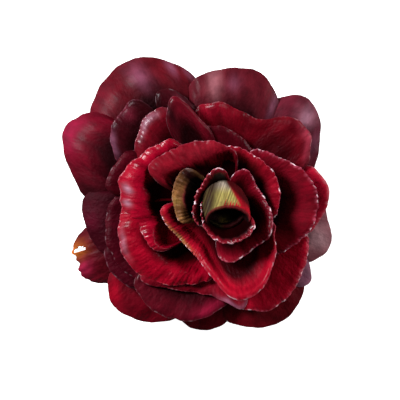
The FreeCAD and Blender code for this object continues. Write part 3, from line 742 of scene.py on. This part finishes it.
def capped_tube(grid):
    """Vertices and faces of rings joined one to the next, closed to a point at both ends."""
    columns, rows = grid.shape[:2]
    index = np.arange(columns * rows).reshape(columns, rows)
    after = np.roll(index, -1, axis=0)
    quads = np.stack([index[:, :-1], after[:, :-1], after[:, 1:], index[:, 1:]], -1)
    hubs = np.stack([grid[:, 0].mean(axis=0), grid[:, -1].mean(axis=0)])
    first = columns * rows
    start = np.stack([after[:, 0], index[:, 0], np.full(columns, first)], 1)
    end = np.stack([index[:, -1], after[:, -1], np.full(columns, first + 1)], 1)
    faces = quads.reshape(-1, 4).tolist() + start.tolist() + end.tolist()
    return np.concatenate([grid.reshape(-1, 3), hubs]), faces


def bud_outside(x, y, level):
    """Grey at the back, straw towards the lip, brown on the left, red on the right, flamed with
    red, with painted shadow at the back right, painted shade at the mouth, on the sunken front
    and at the foot, and dark red along the lip."""
    streak = 0.6 * ripple(x - y * 0.35, y * 0.1, 21, 1.5) + 0.5 * ripple(x - y * 0.35, y * 0.1, 22, 0.7)
    colour = tinted(np.array(BUD_STRAW), BUD_GREY, smooth_step((y - 5.0) / 4.0))
    left = smooth_step((0.2 * y - x - 2.4) / 3.6) * np.clip(0.9 + 0.5 * streak, 0, 1)
    colour = tinted(colour, BUD_BROWN, left)
    colour = colour * np.clip(0.85 + 0.65 * streak, 0.2, 1.4)[..., None]
    flame = smooth_step((1.7 + 2.4 * streak + 0.25 * x - y - 0.05 * x * x) / 0.9)
    flame = flame * smooth_step((x + 2.5) / 2.5)
    right = smooth_step((x + 0.55 * y - 5.2) / 1.2)
    colour = tinted(colour, BUD_RED, np.clip(flame + right, 0, 1))
    shadow = smooth_step((x + 0.95 * y - 7.5) / 2.5)[..., None]
    colour = colour * (1 - 0.85 * shadow)
    mouth = ((x - 0.7) / 7.2) ** 2 + ((y + 4.4) / 4.3) ** 2
    # Painted shade on the sunken front, in the mouth and at the foot.
    front_and_mouth_shade = np.maximum(smooth_step((-y - 3.0) / 2.5), 1 - smooth_step((mouth - 0.85) / 0.2))
    colour = colour * ((1 - 0.95 * front_and_mouth_shade) * smooth_step((level - 22.0) / 12.0))[..., None]
    colour = tinted(colour, BUD_CURL, 0.9 * smooth_step((level - 63.0) / 4.0))
    return np.maximum(colour, 0.001)


def bud_inside(x, y):
    """Painted shade, nearly black, with an olive patch."""
    patch = np.exp(-((x + 0.3) / 1.6) ** 2 - ((y + 3.8) / 1.3) ** 2)
    return tinted(np.array(BUD_HOLLOW_SHADE), BUD_OLIVE, patch)


def bud_colours(x, y, level):
    """A colour for every point of the bud."""
    return np.where((level > BUD_RIM_ROW)[..., None], bud_inside(x, y), bud_outside(x, y, level))


def plain_material(name, colour, rough, metal=0.0, scale=900.0, bump_strength=0.2, low=0.75, high=1.15):
    """A finish with fine mottling in its colour, roughness and surface."""
    material, nodes, links = node_tree(name)
    shader = nodes["Principled BSDF"]
    where = nodes.new("ShaderNodeTexCoord")
    speck = noise(nodes, links, where.outputs["Object"], scale, 6.0)
    shade = ramp(nodes, links, speck, [(0.3, tuple(c * low for c in colour)),
                                       (0.7, tuple(c * high for c in colour))])
    links.new(shade, shader.inputs["Base Color"])
    roughness = remap(nodes, links, speck, max(rough - 0.08, 0.02), min(rough + 0.12, 1.0))
    links.new(roughness, shader.inputs["Roughness"])
    shader.inputs["Metallic"].default_value = metal
    links.new(bump(nodes, links, speck, bump_strength, 0.0001), shader.inputs["Normal"])
    return material


def dress_node(name, material):
    """Gives a CAD node its finish."""
    node = bpy.data.objects[name]
    node.data.materials.clear()
    node.data.materials.append(material)


def make_felt():
    """The felt backing disc, with a slightly uneven cut edge."""
    low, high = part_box("felt_disc")
    centre = (low + high) / 2 / MM
    radius = (high.x - low.x) / 2 / MM
    half = (high.z - low.z) / 2 / MM
    angle = np.linspace(0, 2 * math.pi, 300, endpoint=False)
    # Shares of the radius and of the half thickness, from below, round the edge, to above.
    profile = [(0.05, -1.0), (0.35, -1.0), (0.7, -1.0), (0.93, -1.0), (0.985, -0.9), (0.998, -0.5),
               (1.0, 0.0), (0.998, 0.5), (0.985, 0.9), (0.93, 1.0), (0.7, 1.0), (0.35, 1.0),
               (0.05, 1.0)]
    fray = 1.0 - 0.004 * (1.0 + ripple(angle * radius, 0.0, 31, 1.5))
    rings = [np.stack([centre.x + radius * share * fray * np.cos(angle),
                       centre.y + radius * share * fray * np.sin(angle),
                       centre.z + half * side + 0 * angle], -1) for share, side in profile]
    piece = new_piece("felt_backing", *capped_tube(np.stack(rings, 1)))
    piece.data.materials.append(plain_material("black_felt", (0.012, 0.008, 0.009), 0.9,
                                               scale=2500.0, bump_strength=0.9, low=0.4, high=2.0))
    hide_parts("felt_disc")


# The torsion spring, in millimetres, as in the CAD model.
WIRE_RADIUS = 0.35
SPRING_TURNS = 4
COIL_STEPS = 260
LEG_STEPS = 20
WIRE_SIDES = 14


def spring_path(reach, rise, half_length, radius):
    """The middle of the spring's wire about its axis: a leg, the coil and the other leg, both
    legs leaving the coil straight on."""
    bearing = math.atan2(rise, reach)
    start = bearing + math.acos(radius / math.hypot(rise, reach))
    sweep = 2 * math.pi * (SPRING_TURNS + 1) - 2 * start
    along = np.linspace(0, 1, COIL_STEPS)
    angle = start + sweep * along
    coil = np.stack([radius * np.cos(angle), half_length * (1 - 2 * along),
                     radius * np.sin(angle)], -1)
    leg = np.linspace(0, 1, LEG_STEPS)[:, None]
    upper_tip = np.array([reach, half_length, rise])
    lower_tip = np.array([reach, -half_length, -rise])
    upper_leg = upper_tip + (coil[0] - upper_tip) * leg[:-1]
    lower_leg = coil[-1] + (lower_tip - coil[-1]) * leg[1:]
    return np.concatenate([upper_leg, coil, lower_leg])


def make_spring():
    """The torsion spring as wound wire between the two arms."""
    low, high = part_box("torsion_spring")
    pivot = np.array(frame["record"]["behaviour"]["joints"][0]["pos_m"]) / MM
    reach = high.x / MM - pivot[0]
    rise = high.z / MM - pivot[2] - WIRE_RADIUS
    half_length = (high.y - low.y) / 2 / MM - WIRE_RADIUS
    radius = pivot[0] - low.x / MM - WIRE_RADIUS
    path = spring_path(reach, rise, half_length, radius) + pivot
    tube, quads, caps = wire_mesh(path, WIRE_RADIUS, WIRE_SIDES)
    piece = new_piece("torsion_spring_wire", tube, quads.tolist() + caps, body=None)
    piece.data.materials.append(plain_material("spring_wire", (0.55, 0.55, 0.57), 0.28, 1.0,
                                               scale=1500.0))
    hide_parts("torsion_spring")
    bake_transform(piece)


def wire_mesh(path, radius, sides):
    """A round tube along a path: vertices, four-sided faces and two end caps."""
    ahead = unit(np.gradient(path, axis=0))
    across = np.array([0.0, 1.0, 0.0])
    first = unit(np.cross(ahead, across))
    second = np.cross(ahead, first)
    turn = np.linspace(0, 2 * math.pi, sides, endpoint=False)[None, :, None]
    rings = path[:, None] + radius * (np.cos(turn) * first[:, None] + np.sin(turn) * second[:, None])
    index = np.arange(len(path) * sides).reshape(len(path), sides)
    after = np.roll(index, -1, axis=1)
    quads = np.stack([index[:-1], after[:-1], after[1:], index[1:]], -1).reshape(-1, 4)
    return rings.reshape(-1, 3), quads, [index[0].tolist(), index[-1, ::-1].tolist()]


def dress_clip():
    """Finishes of the clip's metal and of the rose's hidden core and cap."""
    plated = plain_material("nickel_plate", (0.62, 0.6, 0.57), 0.26, 1.0, scale=250.0,
                            bump_strength=0.04, low=0.94, high=1.03)
    dress_node("clip_upper_arm", plated)
    dress_node("clip_lower_arm", plated)
    dress_node("hinge_pin", plain_material("polished_pin", (0.66, 0.65, 0.63), 0.15, 1.0,
                                           scale=900.0, bump_strength=0.05, low=0.9, high=1.05))
    dress_node("petal_cap", plain_material("cap_plastic", (0.05, 0.09, 0.03), 0.5, scale=700.0))
    dress_node("flower_core", plain_material("core_foam", (0.09, 0.004, 0.008), 0.8,
                                             scale=1200.0, bump_strength=0.6))


# The studio, in metres, and its lights.
TABLE_GLOW = 0.7
SKY_GLOW = 0.06
HORIZON_BLUR = 0.25
CAMERA_HEIGHT = 1.2
ROSE_HEIGHT = 0.03         # height at which the picture is PICTURE_WIDTH across
PICTURE_WIDTH = 0.1462
PICTURE_MIDDLE = (-0.00925, 0.00296)    # from the rose's axis, as the rose stands in the photo


def area_light(name, place, target, size, power, colour):
    """A round lamp at a place, turned to its target."""
    data = bpy.data.lights.new(name, "AREA")
    data.shape = "DISK"
    data.size = size
    data.energy = power
    data.color = colour
    light = bpy.data.objects.new(name, data)
    light.location = place
    light.rotation_mode = "QUATERNION"
    light.rotation_quaternion = (Vector(target) - Vector(place)).to_track_quat("-Z", "Y")
    bpy.context.scene.collection.objects.link(light)


def white_paper():
    """Paper that glows, so that it is pure white as in the photo."""
    material, nodes, _ = node_tree("white_paper")
    shader = nodes["Principled BSDF"]
    shader.inputs["Base Color"].default_value = (0.9, 0.9, 0.9, 1)
    shader.inputs["Roughness"].default_value = 0.9
    shader.inputs["Emission Color"].default_value = (1, 1, 1, 1)
    shader.inputs["Emission Strength"].default_value = 1.0
    return material


def make_backdrop():
    """A white floor that curves up into a wall all round."""
    # Distances from the middle and heights, in metres.
    profile = [(0.0, 0.0), (0.6, 0.0), (1.2, 0.0), (1.5, 0.03), (1.75, 0.14), (1.92, 0.34),
               (2.0, 0.6), (2.02, 1.2), (2.02, 2.0)]
    angle = np.linspace(0, 2 * math.pi, 96, endpoint=False)
    rings = [np.stack([radius * np.cos(angle), radius * np.sin(angle), rise + 0 * angle], -1)
             for radius, rise in profile]
    grid = np.stack(rings, 1)
    index = np.arange(grid.shape[0] * grid.shape[1]).reshape(grid.shape[:2])
    after = np.roll(index, -1, axis=0)
    quads = np.stack([index[:, :-1], index[:, 1:], after[:, 1:], after[:, :-1]], -1)
    vertices = grid.reshape(-1, 3) + np.array([0, 0, CAD_LOW.z])
    backdrop = new_piece("studio_backdrop", vertices / MM, quads.reshape(-1, 4).tolist(), None)
    backdrop.data.materials.append(white_paper())
    backdrop.visible_glossy = False
    backdrop.visible_diffuse = False
    backdrop.visible_shadow = False


def light_the_world(tree):
    """Dim from above and bright from below, where the white table sends light back up."""
    where = tree.nodes.new("ShaderNodeTexCoord")
    apart = tree.nodes.new("ShaderNodeSeparateXYZ")
    tree.links.new(where.outputs["Generated"], apart.inputs[0])
    glow = remap(tree.nodes, tree.links, apart.outputs["Z"], TABLE_GLOW, SKY_GLOW,
                 -HORIZON_BLUR, HORIZON_BLUR)
    tree.links.new(glow, tree.nodes["Background"].inputs["Strength"])
    tree.nodes["Background"].inputs["Color"].default_value = (1, 1, 1, 1)


def make_studio():
    """Soft lights on both sides, and a camera straight above the rose."""
    middle = (CAD_LOW + CAD_HIGH) / 2
    world = bpy.data.worlds.new("studio")
    bpy.context.scene.world = world
    world.use_nodes = True
    light_the_world(world.node_tree)
    area_light("window_left", (-0.75, 0.45, 0.7), middle, size=0.4, power=22.0,
               colour=(0.95, 0.97, 1.0))
    area_light("window_right", (0.8, 0.25, 0.5), middle, size=0.7, power=8.0,
               colour=(1.0, 0.97, 0.98))
    data = bpy.data.cameras.new("camera")
    camera = bpy.data.objects.new("camera", data)
    bpy.context.scene.collection.objects.link(camera)
    data.lens = data.sensor_width * (CAMERA_HEIGHT - ROSE_HEIGHT) / PICTURE_WIDTH
    camera.location = (*PICTURE_MIDDLE, CAMERA_HEIGHT)
    data.clip_end = 10.0
    bpy.context.scene.camera = camera
    bpy.context.scene.view_settings.view_transform = "Standard"


# A petal's number in LOOKS seeds its ripples.
for number, petal in enumerate(LOOKS, start=1):
    make_petal(petal, number)
make_bud()
make_felt()
make_spring()
dress_clip()
make_backdrop()
make_studio()
